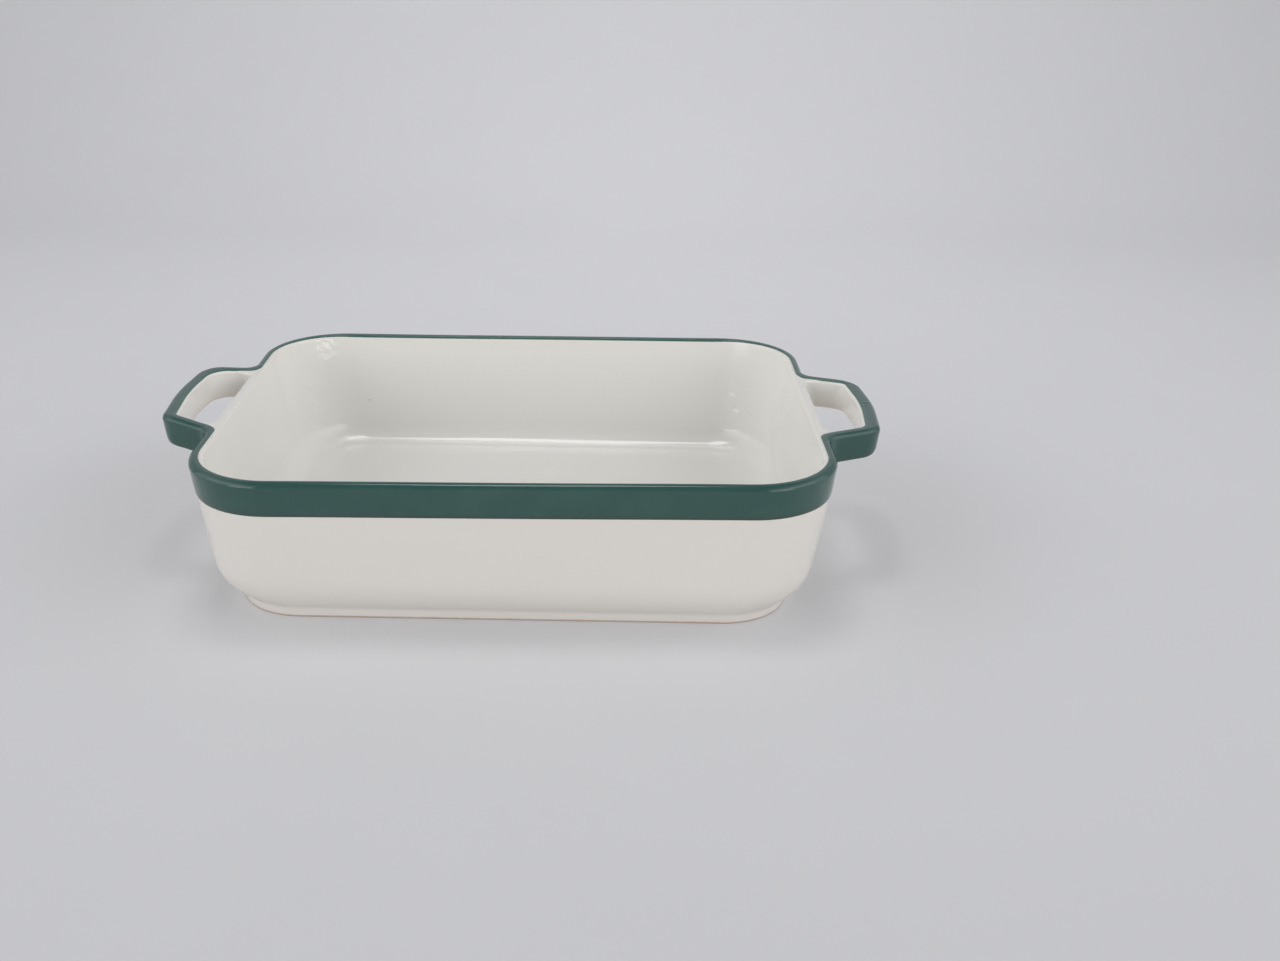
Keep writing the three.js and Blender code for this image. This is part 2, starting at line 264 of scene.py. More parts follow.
class Plan:
    """Outlines of the dish seen from above. Every inset is measured in from the white wall below the lip."""

    def __init__(self, shape):
        self.shape = shape
        self.half_length = shape.rim_length / 2 - GREEN_COAT
        self.half_width = shape.rim_width / 2 - GREEN_COAT
        self.leg_taper = (shape.neck_half_width - shape.end_half_width) / shape.handle_reach

    def basin_corner(self, inset, sx, sy, run):
        """The wall's corner in the quarter of the signs sx and sy, as rounded_loop takes it."""
        x, y = sx * (self.half_length - inset), sy * (self.half_width - inset)
        return (x, y, self.shape.corner_radius - CORNER_TAPER * inset, CORNER_STEPS, run)

    def basin(self, inset):
        """The wall's outline: a rounded rectangle whose corners tighten slowly towards the foot."""
        signs = ((1, -1), (1, 1), (-1, 1), (-1, -1))
        return rounded_loop([self.basin_corner(inset, sx, sy, SIDE_RUN) for sx, sy in signs])

    def past_wall(self, x, before, past):
        """0 up to so far before an end wall's face, 1 from so far past it, and smooth between."""
        return smooth_step(abs(x), self.half_length - before, self.half_length + past)

    def leg_y(self, x, inset):
        """Where a handle leg's face stands at x, on the side of +Y."""
        tilt = math.hypot(1, self.leg_taper)
        return self.shape.neck_half_width - (x - self.half_length) * self.leg_taper - inset * tilt

    def handle_corners(self, side, leg, bar, neck_radius, end_radii):
        """The right handle's outline from its front neck to its back neck."""
        neck_x = self.half_length - side
        end_x = self.half_length + self.shape.handle_reach - bar
        neck_y, end_y = self.leg_y(neck_x, leg), self.leg_y(end_x, leg)
        return [
            (neck_x, -neck_y, neck_radius, HANDLE_STEPS, SHORT_RUN),
            (end_x, -end_y, end_radii[0], HANDLE_STEPS, SHORT_RUN),
            (end_x + END_BOW, 0, BOW_RADIUS, BOW_STEPS, SHORT_RUN),
            (end_x, end_y, end_radii[1], HANDLE_STEPS, SHORT_RUN),
            (neck_x, neck_y, neck_radius, HANDLE_STEPS, SHORT_RUN),
        ]

    def rim(self, side, leg, bar, neck_radius, *end_radii):
        """The whole rim: round the basin's corners, in at each neck and out round each handle, with the end
        radii of the right handle's front and back and of the left one's back and front."""
        front, back = self.basin_corner(side, 1, -1, SHORT_RUN), self.basin_corner(side, 1, 1, SIDE_RUN)
        right = [front, *self.handle_corners(side, leg, bar, neck_radius, end_radii[:2]), back]
        left = [front, *self.handle_corners(side, leg, bar, neck_radius, end_radii[2:]), back]
        return rounded_loop(right + [(-x, -y, *rest) for x, y, *rest in left])

    def handle_outside(self, side, leg, bar, end_radii):
        """Outer outline of a handle as it stands on the right, open, with feet sunk into the end wall."""
        sunk = side + HANDLE_SUNK
        corners = self.handle_corners(sunk, leg, bar, NECK_RADIUS + sunk, end_radii)
        return open_at_feet(corners, self.half_length - sunk, NECK_SPREAD)

    def handle_inside(self, grow, side, end_radii):
        """Outline of the finger slot, open, from foot to foot."""
        sunk = side + HANDLE_SUNK
        leg, bar = self.shape.leg_width - grow, self.shape.bar_width - grow
        corners = self.handle_corners(sunk, leg, bar, SLOT_ROOT_RADIUS + HANDLE_SUNK, end_radii)
        return open_at_feet(corners, self.half_length - sunk, SLOT_SPREAD)


def outer_ends(bar):
    """Radii of the handles' outer corners where the bar stands in so far, in the order that the rim takes."""
    front, back = END_RADIUS - bar, BACK_END_RADIUS - bar
    return front, back, back, front


def open_at_feet(corners, foot_x, spread):
    """An open outline that leaves the wall's face at foot_x, spread beyond its first and last corner."""
    reach = corners[-1][1] + spread
    return rounded_loop(
        [(foot_x, -reach, 0, 0, 1), *corners, (foot_x, reach, 0, 0, 1)], is_closed=False
    )


def rounded_loop(corners, is_closed=True):
    """A plan outline from corners (x, y, radius, arc steps, run steps), each rounded by an arc."""
    arcs = []
    for i, (x, y, radius, steps, _) in enumerate(corners):
        apex = Vector((x, y))
        if not radius:
            arcs.append([apex])
            continue
        to_before = (Vector(corners[i - 1][:2]) - apex).normalized()
        to_after = (Vector(corners[(i + 1) % len(corners)][:2]) - apex).normalized()
        half_angle = to_before.angle(to_after) / 2
        middle = apex + (to_before + to_after).normalized() * (radius / math.sin(half_angle))
        spoke = apex + to_before * (radius / math.tan(half_angle)) - middle
        turn = math.copysign(math.pi - 2 * half_angle, to_after.cross(to_before))
        arcs.append([middle + Matrix.Rotation(turn * k / steps, 2) @ spoke for k in range(steps + 1)])
    points = []
    for i, arc in enumerate(arcs):
        points += arc
        if is_closed or i + 1 < len(arcs):
            start = arcs[(i + 1) % len(arcs)][0]
            run = corners[i][4]
            points += [arc[-1].lerp(start, k / run) for k in range(1, run)]
    return points


def section_arc(inset, height, radius, start, end, steps):
    """Points (inset, height) of an arc whose angle is 0 at its outer side and 90 at its top."""
    angles = [math.radians(start + (end - start) * k / steps) for k in range(steps + 1)]
    return [Vector((inset - radius * math.cos(a), height + radius * math.sin(a))) for a in angles]


class Section:
    """The white surface in section, as points (inset, height)."""

    def __init__(self, shape):
        self.crest = shape.height - GREEN_COAT
        self.outer_base = self.crest - LIP_OUTER_RADIUS
        self.inner_base = self.crest - LIP_INNER_RADIUS
        self.band_bottom = shape.height - shape.band_height
        self.handle_bottom = self.band_bottom + HANDLE_ABOVE_BAND
        self.shape = shape
        self.bend_inset = self.outer_inset(BEND_CENTRE_HEIGHT) + BEND_RADIUS * math.hypot(1, OUTER_LEAN)

        # The foot's outer face, and where the hollow above it touches the bend
        foot_top = math.asin((BEND_CENTRE_HEIGHT - shape.foot_height) / BEND_RADIUS)
        self.foot_face = self.bend_inset - BEND_RADIUS * math.cos(foot_top) + FOOT_SETBACK
        across = self.bend_inset - self.foot_face + FOOT_HOLLOW
        self.joint_angle = math.degrees(math.acos(across / (BEND_RADIUS + FOOT_HOLLOW)))
        drop = (BEND_RADIUS + FOOT_HOLLOW) * math.sin(math.radians(self.joint_angle))
        self.hollow_height = BEND_CENTRE_HEIGHT - drop

    def outer_inset(self, z):
        return OUTER_LEAN * (self.outer_base - z)

    def inner_inset(self, z):
        return self.shape.lip_width + INNER_LEAN * (self.inner_base - z)

    def bend(self, start, end, steps):
        """A part of the bend above the foot, between two angles in degrees below the level."""
        return section_arc(self.bend_inset, BEND_CENTRE_HEIGHT, BEND_RADIUS, -start, -end, steps)

    def outer_bend(self):
        """From where the foot's hollow touches the bend to where the wall runs straight."""
        return self.bend(self.joint_angle, math.degrees(math.atan(OUTER_LEAN)), BEND_STEPS)

    def foot_hollow(self):
        """From the foot's outer face up to the bend."""
        inset = self.foot_face - FOOT_HOLLOW
        return section_arc(inset, self.hollow_height, FOOT_HOLLOW, 180, 180 - self.joint_angle, EDGE_STEPS)

    def on_handle(self, z):
        """The height on a handle's outer face that answers to a height on the green band."""
        low = self.handle_bottom + GREEN_ABOVE_EDGE
        share = (self.outer_base - z) / (self.outer_base - self.band_bottom)
        return z if share < 0 else self.outer_base - (self.outer_base - low) * share

    def handle_insets(self, point):
        """How far the wall, a handle's leg and its bar stand in at a point, with rounded lower edges."""
        up = point.y - self.handle_bottom
        return point.x, point.x + eased(up, LEG_LOWER_EDGE), point.x + eased(up, BAR_LOWER_EDGE)

    def outer_wall(self, low, high, count):
        """Evenly spaced points up the straight part of the outer wall, both ends included."""
        heights = [low + (high - low) * k / (count - 1) for k in range(count)]
        return [Vector((self.outer_inset(z), z)) for z in heights]

    def outer_lip(self):
        return section_arc(LIP_OUTER_RADIUS, self.outer_base, LIP_OUTER_RADIUS, 0, 90, EDGE_STEPS)

    def inner_lip(self):
        inset = self.shape.lip_width - LIP_INNER_RADIUS
        return section_arc(inset, self.inner_base, LIP_INNER_RADIUS, 90, 180, EDGE_STEPS)

    def inner_wall(self):
        """Between the lip and the fillet, without its ends."""
        top, base = self.inner_lip()[-1], self.fillet()[0]
        return [top.lerp(base, k / INNER_WALL_STEPS) for k in range(1, INNER_WALL_STEPS)]

    def fillet(self):
        """Between the inner wall and the floor."""
        height = self.shape.floor_height + FILLET_RADIUS
        inset = self.inner_inset(height) + FILLET_RADIUS * math.hypot(1, INNER_LEAN)
        start = -math.degrees(math.atan(INNER_LEAN))
        return section_arc(inset, height, FILLET_RADIUS, start, -90, BEND_STEPS)


def lifted(section, lifts):
    """A section moved outwards, square to itself, by one distance for each of its points."""
    moved = []
    for i, point in enumerate(section):
        along = (section[min(i + 1, len(section) - 1)] - section[max(i - 1, 0)]).normalized()
        moved.append(point + Vector((-along.y, along.x)) * lifts[i])
    return moved


def eased(up, radius):
    """How far a face stands in, at a height above the edge below it, where that edge is rounded."""
    return radius - math.sqrt(radius**2 - max(radius - max(up, 0), 0) ** 2)


def smooth_step(value, low, high):
    """0 below the low limit, 1 above the high one, and smooth between."""
    t = min(max((value - low) / (high - low), 0), 1)
    return t * t * (3 - 2 * t)


def fired(point, shape):
    """Where a point of the dish went in the kiln: the foot, rim and handle ends are a little from true."""
    low = 1 - smooth_step(point.z, *FOOT_WARP_HEIGHTS)
    turned = Matrix.Rotation(FOOT_TURN * low, 2) @ point.to_2d() * (1 - FOOT_SHRINK * low)
    x, y, z = turned.x, turned.y, point.z
    x *= 1 - FOOT_DRAW * (1 - smooth_step(z, *FOOT_DRAW_HEIGHTS))
    wave = noise.noise(Vector((x / RIM_WAVE_LENGTH, y / RIM_WAVE_LENGTH, RIM_WAVE_CUT)))
    u, v = 2 * x / shape.rim_length, 2 * y / shape.rim_width
    middle, right, back, both = RIM_RISE
    rise = middle + right * u + back * v + both * u * v
    z += (RIM_WAVE * wave + rise) * smooth_step(z, *RIM_WARP_HEIGHTS)
    wall = shape.rim_length / 2
    out = min(max((abs(x) - wall) / shape.handle_reach, 0), 1)
    if x < 0:
        z += shape.left_lift * smooth_step(-x, wall - LIFT_BEFORE, wall + LIFT_PAST)
        x += shape.left_draw * out
    else:
        is_handle = smooth_step(x, wall - SLIP_BEFORE, wall) * (1 - smooth_step(abs(y), *SLIP_FADE))
        y -= shape.right_slip * is_handle * (1 - SLIP_LOSS * out)
        y *= 1 - RIGHT_PINCH * out
        x += shape.right_draw * out
    return Vector((x, y, z))


def at_height(loop, z):
    """A plan outline as a row of points at this height."""
    return [Vector((point.x, point.y, z)) for point in loop]


def lofted(name, rows, shape, is_ring=False, is_strip=False, is_based=False, is_floored=False, marks=None):
    """A smooth mesh object through rows of points that run up the outside, over the top and down the inside.
    A ring's last row joins its first, a strip's rows are open, a based one starts with a flat face and a
    floored one ends in one. marks are attributes, each with one number for each row."""
    count = len(rows[0])
    faces = []
    for k in range(len(rows) if is_ring else len(rows) - 1):
        low, high = k * count, (k + 1) % len(rows) * count
        for i in range(count - 1 if is_strip else count):
            j = (i + 1) % count
            faces.append((low + i, low + j, high + j, high + i))
    if is_based:
        faces.append(range(count - 1, -1, -1))
    if is_floored:
        faces.append(range((len(rows) - 1) * count, len(rows) * count))
    mesh = bpy.data.meshes.new(name)
    mesh.from_pydata([fired(point, shape) for row in rows for point in row], [], faces)
    mesh.shade_smooth()
    for mark, values in (marks or {}).items():
        attribute = mesh.attributes.new(mark, "FLOAT", "POINT")
        attribute.data.foreach_set("value", [value for value in values for _ in range(count)])
    piece = bpy.data.objects.new(name, mesh)
    bpy.context.scene.collection.objects.link(piece)
    piece.modifiers.new("Even shading", "WEIGHTED_NORMAL").weight = 100
    return piece


def stand_for(piece, node, material):
    """The piece rides on the dish in place of a solid, with its finish."""
    piece.data.materials.append(material)
    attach(piece, "root")
    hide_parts(node)


def add(owner, kind, inputs=None, **settings):
    """Adds a shader node to a material or world, with each input set to a value or linked from a socket."""
    node = owner.node_tree.nodes.new("ShaderNode" + kind)
    for key, value in settings.items():
        setattr(node, key, value)
    for key, value in (inputs or {}).items():
        if isinstance(value, bpy.types.NodeSocket):
            owner.node_tree.links.new(value, node.inputs[key])
        else:
            node.inputs[key].default_value = value
    return node


def new_material(name):
    """A node material of this name, still without nodes."""
    material = bpy.data.materials.new(name)
    material.use_nodes = True
    material.node_tree.nodes.clear()
    return material


def white_glaze(finish, name, is_foot=False):
    """Tin-white stoneware glaze, dipped and fired glossy. A cloudy cream white whose surface swells gently,
    so that highlights waver, with a fine orange peel, a few iron specks and a warmer tone where thin on
    the lip and edges. Over the whole outside that warmer tone is painted warm light; at the foot and under
    the handles it only makes the glaze warmer and darker."""
    material = new_material(name)
    place = add(material, "TexCoord").outputs["Object"]

    # Clouds about 45 mm across, where the coat is a little thinner or thicker
    cloud = add(material, "TexNoise", {"Vector": place, "Scale": 1 / (45 * MM), "Detail": 3.0})
    thin = add(material, "Attribute", attribute_name="thin").outputs["Fac"]
    # The thin mark turns the white warmer and darker: thin glaze on edges, and painted warm light over the
    # outside
    thin_share = add(
        material,
        "Math",
        {0: cloud.outputs["Fac"], 1: 0.1, 2: thin},
        operation="MULTIPLY_ADD",
        use_clamp=True,
    )
    body = add(
        material,
        "Mix",
        {0: thin_share.outputs[0], 6: finish.white, 7: finish.thin_white_and_warm_light},
        data_type="RGBA",
    )

    # Iron specks under half a millimetre, drawn at 0.8 mm so that they show. About a third of the 22 mm
    # cells hold one, which is seen where the surface cuts it
    cell = add(material, "TexVoronoi", {"Vector": place, "Scale": 1 / (22 * MM)}, feature="F1")
    is_near = add(
        material, "MapRange", {0: cell.outputs["Distance"], 1: 0.012, 2: 0.024, 3: 1.0, 4: 0.0}
    )
    is_chosen = add(material, "Math", {0: cell.outputs["Color"], 1: 0.62}, operation="GREATER_THAN")
    is_speck = add(
        material, "Math", {0: is_near.outputs[0], 1: is_chosen.outputs[0]}, operation="MULTIPLY"
    )
    specked = add(
        material,
        "Mix",
        {0: is_speck.outputs[0], 6: body.outputs[2], 7: finish.speck},
        data_type="RGBA",
    )
    base, roughness = specked.outputs[2], 0.1

    if is_foot:
        # The lowest millimetre of the foot is wiped bare before firing, along an uneven line
        height = add(material, "SeparateXYZ", {0: place}).outputs["Z"]
        grit = add(material, "TexNoise", {"Vector": place, "Scale": 1 / (3 * MM), "Detail": 4.0})
        edge = add(
            material, "Math", {0: grit.outputs["Fac"], 1: -0.6 * MM, 2: height}, operation="MULTIPLY_ADD"
        )
        bare = add(
            material, "MapRange", {0: edge.outputs[0], 1: 0.3 * MM, 2: 0.7 * MM, 3: 1.0, 4: 0.0}
        )
        wiped = add(
            material, "Mix", {0: bare.outputs[0], 6: base, 7: finish.clay}, data_type="RGBA"
        )
        dulled = add(material, "MapRange", {0: bare.outputs[0], 3: 0.14, 4: 0.85})
        base, roughness = wiped.outputs[2], dulled.outputs[0]

    # Runs 4 mm apart and 0.1 mm high, in 24 mm patches in the inside corners and, weaker, on the
    # handles, only where the coat is thick
    apart = add(material, "VectorMath", {0: place}, operation="ABSOLUTE")
    sides = add(material, "SeparateXYZ", {0: apart.outputs[0]}).outputs
    along = add(material, "MapRange", {0: sides["X"], 1: 95 * MM, 2: 115 * MM})
    across = add(material, "MapRange", {0: sides["Y"], 1: 66 * MM, 2: 86 * MM})
    in_corner = add(
        material, "Math", {0: along.outputs[0], 1: across.outputs[0]}, operation="MULTIPLY"
    )
    on_handle = add(material, "MapRange", {0: sides["X"], 1: 138 * MM, 2: 146 * MM, 3: 0.0, 4: 0.3})
    where = add(
        material, "Math", {0: in_corner.outputs[0], 1: on_handle.outputs[0]}, operation="MAXIMUM"
    )
    is_thick = add(material, "MapRange", {0: thin, 1: 0.12, 2: 0.25, 3: 1.0, 4: 0.0})
    patch = add(material, "TexNoise", {"Vector": place, "Scale": 1 / (24 * MM), "Detail": 0.0})
    in_patch = add(material, "MapRange", {0: patch.outputs["Fac"], 1: 0.46, 2: 0.58})
    share = add(
        material, "Math", {0: where.outputs[0], 1: is_thick.outputs[0]}, operation="MULTIPLY"
    )
    share = add(
        material, "Math", {0: share.outputs[0], 1: in_patch.outputs[0]}, operation="MULTIPLY"
    )
    flow = add(material, "TexNoise", {"Vector": place, "Scale": 1 / (4 * MM), "Detail": 1.0})

    # Swells 28 mm apart and 0.03 mm high, and orange peel 2.5 mm apart and 1.5 micrometres high
    swell = add(material, "TexNoise", {"Vector": place, "Scale": 1 / (28 * MM), "Detail": 1.0})
    peel = add(material, "TexNoise", {"Vector": place, "Scale": 1 / (2.5 * MM), "Detail": 1.0})
    swelling = add(
        material, "Bump", {"Strength": 1.0, "Distance": 0.06 * MM, "Height": swell.outputs["Fac"]}
    )
    running = add(
        material,
        "Bump",
        {
            "Strength": share.outputs[0],
            "Distance": 0.35 * MM,
            "Height": flow.outputs["Fac"],
            "Normal": swelling.outputs[0],
        },
    )
    surface = add(
        material,
        "Bump",
        {
            "Strength": 1.0,
            "Distance": 0.003 * MM,
            "Height": peel.outputs["Fac"],
            "Normal": running.outputs[0],
        },
    )
    shader = add(
        material,
        "BsdfPrincipled",
        {"Base Color": base, "Roughness": roughness, "IOR": 1.55, "Normal": surface.outputs[0]},
    )
    add(material, "OutputMaterial", {"Surface": shader.outputs[0]})
    return material


def green_glaze(finish):
    """Copper-green glaze, brushed over the white one and fired glossy. Deep and clear where it lies thick,
    paler and speckled where it has thinned along the crest, browner along its lower edge."""
    material = new_material("Green glaze, brushed and fired")
    place = add(material, "TexCoord").outputs["Object"]

    # Brush clouds about 18 mm long lighten the coat a little
    cloud = add(material, "TexNoise", {"Vector": place, "Scale": 1 / (18 * MM), "Detail": 3.0})
    clouding = add(material, "MapRange", {0: cloud.outputs["Fac"], 1: 0.45, 2: 0.8, 3: 0.0, 4: 0.12})
    body = add(
        material,
        "Mix",
        {0: clouding.outputs[0], 6: finish.green, 7: finish.thin_green},
        data_type="RGBA",
    )

    # Along the crest the coat breaks into specks 1.2 mm apart
    thin = add(material, "Attribute", attribute_name="thin").outputs["Fac"]
    speckle = add(material, "TexNoise", {"Vector": place, "Scale": 1 / (1.2 * MM), "Detail": 3.0})
    breaking = add(
        material,
        "Math",
        {0: speckle.outputs["Fac"], 1: thin},
        operation="MULTIPLY",
    )
    broken = add(
        material,
        "Mix",
        {0: breaking.outputs[0], 6: body.outputs[2], 7: finish.thin_green},
        data_type="RGBA",
    )

    # The lower edge, where the last of the coat runs out over the white
    edge = add(material, "Attribute", attribute_name="lower_edge").outputs["Fac"]
    edged = add(
        material, "Mix", {0: edge, 6: broken.outputs[2], 7: finish.green_edge}, data_type="RGBA"
    )

    # Swells 12 mm apart and 0.03 mm high, and a brush ridge 7 mm long across the right handle's bar
    swell = add(material, "TexNoise", {"Vector": place, "Scale": 1 / (12 * MM), "Detail": 1.5})
    swelling = add(
        material, "Bump", {"Strength": 1.0, "Distance": 0.06 * MM, "Height": swell.outputs["Fac"]}
    )
    from_ridge = add(material, "VectorMath", {0: place, 1: RIDGE_PLACE}, operation="SUBTRACT")
    across = add(material, "VectorMath", {0: from_ridge.outputs[0], 1: RIDGE_SIZE}, operation="DIVIDE")
    away = add(material, "VectorMath", {0: across.outputs[0]}, operation="LENGTH")
    ridge = add(
        material,
        "MapRange",
        {0: away.outputs["Value"], 3: 1.0, 4: 0.0},
        interpolation_type="SMOOTHSTEP",
    )
    surface = add(
        material,
        "Bump",
        {
            "Strength": 1.0,
            "Distance": 0.3 * MM,
            "Height": ridge.outputs[0],
            "Normal": swelling.outputs[0],
        },
    )
    shader = add(
        material,
        "BsdfPrincipled",
        {"Base Color": edged.outputs[2], "Roughness": 0.09, "IOR": 1.5, "Normal": surface.outputs[0]},
    )
    add(material, "OutputMaterial", {"Surface": shader.outputs[0]})
    return material


def bare_stoneware(finish):
    """Stoneware clay, pressed and fired without glaze. A dry buff body with fine darker grit and no gloss."""
    material = new_material("Stoneware, pressed and fired bare")
    place = add(material, "TexCoord").outputs["Object"]

    # Grit 1.1 mm apart, over clouds 30 mm across
    grit = add(material, "TexNoise", {"Vector": place, "Scale": 1 / (1.1 * MM), "Detail": 4.0})
    cloud = add(material, "TexNoise", {"Vector": place, "Scale": 1 / (30 * MM), "Detail": 2.0})
    toned = add(
        material,
        "Mix",
        {0: cloud.outputs["Fac"], 6: finish.clay, 7: finish.thin_white_and_warm_light},
        data_type="RGBA",
    )
    is_grit = add(material, "MapRange", {0: grit.outputs["Fac"], 1: 0.6, 2: 0.72, 3: 0.0, 4: 0.35})
    gritty = add(
        material,
        "Mix",
        {0: is_grit.outputs[0], 6: toned.outputs[2], 7: finish.speck},
        data_type="RGBA",
    )
    surface = add(
        material, "Bump", {"Strength": 1.0, "Distance": 0.08 * MM, "Height": grit.outputs["Fac"]}
    )
    shader = add(
        material,
        "BsdfPrincipled",
        {"Base Color": gritty.outputs[2], "Roughness": 0.88, "Normal": surface.outputs[0]},
    )
    add(material, "OutputMaterial", {"Surface": shader.outputs[0]})
    return material


def opal_sheet(finish):
    """Opal acrylic, cast and hung in a curve. Pale with a faint milky cloud, and a painted pool of light that
    makes it a little brighter behind the dish than round it."""
    material = new_material("Opal acrylic, cast")
    place = add(material, "TexCoord").outputs["Object"]

    # Milky clouds 90 mm across, one and a half per cent lighter or darker
    milk = add(material, "TexNoise", {"Vector": place, "Scale": 1 / (90 * MM), "Detail": 2.0})
    value = add(material, "MapRange", {0: milk.outputs["Fac"], 3: 0.985, 4: 1.015})
    shade = add(material, "HueSaturation", {"Color": finish.opal, "Value": value.outputs[0]})

    # Painted light: a glow that is seen, straight or in a gloss, and puts no light on the dish. It fades out
    # from behind the dish as a painted pool of light, which also lightens the dish's shadow on the sheet
    path = add(material, "LightPath").outputs
    seen = add(
        material, "Math", {0: path["Is Camera Ray"], 1: path["Is Glossy Ray"]}, operation="ADD"
    )
    seen = add(
        material,
        "Math",
        {0: seen.outputs[0], 1: path["Is Transmission Ray"]},
        operation="ADD",
        use_clamp=True,
    )
    away = add(material, "VectorMath", {0: place, 1: PAINTED_POOL_MIDDLE}, operation="DISTANCE")
    painted_pool_fade = add(material, "MapRange", {0: away.outputs["Value"], 1: 0.1, 2: 1.25, 3: 1.0, 4: 0.0})
    strength = add(
        material, "Math", {0: painted_pool_fade.outputs[0], 1: seen.outputs[0]}, operation="MULTIPLY"
    )
    shader = add(
        material,
        "BsdfPrincipled",
        {
            "Base Color": shade.outputs[0],
            "Roughness": 0.7,
            "Specular IOR Level": 0.2,
            "Emission Color": finish.glow,
            "Emission Strength": strength.outputs[0],
        },
    )
    add(material, "OutputMaterial", {"Surface": shader.outputs[0]})
    return material


class DISH_OT_basin(bpy.types.Operator):
    """Makes the clay body under the glazes, whose bare underside shows inside the foot ring"""

    bl_idname = "dish.basin"
    bl_label = "Make the basin"

    def execute(self, context):
        shape, finish = context.scene.dish_shape, context.scene.dish_finish
        plan, section = Plan(shape), Section(shape)
        bend = [point for point in section.outer_bend() if point.y > shape.foot_height]
        wall = section.outer_wall(bend[-1].y, section.outer_base, count=12)[1:-1]
        lip = [*section.outer_lip(), *section.inner_lip()]
        white = [*bend, *wall, *lip, *section.inner_wall(), *section.fillet()]
        inner = section.foot_face + FOOT_WIDTH
        profile = [
            Vector((inner, UNDERSIDE_HEIGHT)),
            Vector((inner, shape.foot_height)),
            Vector((section.foot_face, shape.foot_height)),
            *lifted(white, [-WHITE_COAT] * len(white)),
        ]
        rows = [at_height(plan.basin(point.x), point.y) for point in profile]
        piece = lofted("basin_body", rows, shape, is_based=True, is_floored=True)
        stand_for(piece, "basin", bare_stoneware(finish))
        return {"FINISHED"}


class DISH_OT_foot_ring(bpy.types.Operator):
    """Makes the foot ring, glazed outside and wiped bare where it stands"""

    bl_idname = "dish.foot_ring"
    bl_label = "Make the foot ring"

    def execute(self, context):
        shape, finish = context.scene.dish_shape, context.scene.dish_finish
        plan, section = Plan(shape), Section(shape)
        inner = section.foot_face + FOOT_WIDTH
        foot = section.foot_face + FOOT_LEAN

        # The ring runs on for 1 to 4 degrees of the bend, under the outside coat, and closes inside the
        # basin
        under_coat = section.bend(section.joint_angle - 1, section.joint_angle - 4, 2)
        profile = [
            Vector((inner, shape.foot_height)),
            *section_arc(inner - FOOT_EDGE, FOOT_EDGE, FOOT_EDGE, 180, 270, EDGE_STEPS),
            *section_arc(foot + FOOT_EDGE, FOOT_EDGE, FOOT_EDGE, -90, 0, EDGE_STEPS),
            *section.foot_hollow(),
            *lifted(under_coat, [-FOOT_UNDER_COAT] * len(under_coat)),
            Vector((section.foot_face + 1 * MM, shape.foot_height)),
        ]
        rows = [at_height(plan.basin(point.x), point.y) for point in profile]
        # Warmer and darker all over the foot
        thin = [FOOT_WARMTH] * len(rows)
        piece = lofted("foot_ring_wiped", rows, shape, is_ring=True, marks={"thin": thin})
        material = white_glaze(finish, "White glaze, wiped at the foot", is_foot=True)
        stand_for(piece, "foot_ring", material)
        return {"FINISHED"}


class DISH_OT_white_coats(bpy.types.Operator):
    """Makes the white glaze, outside from the foot to the band and inside from the floor over the lip"""

    bl_idname = "dish.white_coats"
    bl_label = "Make the white coats"

    def execute(self, context):
        shape, finish = context.scene.dish_shape, context.scene.dish_finish
        plan, section = Plan(shape), Section(shape)
        glaze = white_glaze(finish, "White glaze, dipped and fired")

        # The outside coat starts 3 degrees of the bend below the foot's hollow, inside the ring
        bend = section.outer_bend()
        in_foot = section.bend(section.joint_angle + 3, section.joint_angle, 2)[:-1]
        wall = section.outer_wall(bend[-1].y, COAT_MEETING_HEIGHT, count=9)
        outside = [*in_foot, *bend, *wall[1:]]
        rows = [at_height(plan.basin(point.x), point.y) for point in outside]
        # A painted tint of warm light over the whole outside
        thin = [PAINTED_WARM_LIGHT_OUTSIDE] * len(rows)
        piece = lofted("outside_glaze_coat", rows, shape, marks={"thin": thin})
        stand_for(piece, "outside_glaze", glaze)

        wall = section.outer_wall(COAT_MEETING_HEIGHT, section.outer_base, count=4)[:-1]
        over = [*wall, *section.outer_lip(), *section.inner_lip()]
        fillet = section.fillet()
        floor = [Vector((fillet[-1].x + ring, fillet[-1].y)) for ring in FLOOR_RINGS]
        inside = [*over, *section.inner_wall(), *fillet, *floor]
        rows = [at_height(plan.basin(point.x), point.y) for point in inside]
        thin = [THIN_LIP] * len(over) + [0] * (len(inside) - len(over))
        piece = lofted("inside_glaze_coat", rows, shape, is_floored=True, marks={"thin": thin})
        stand_for(piece, "inside_glaze", glaze)
        return {"FINISHED"}


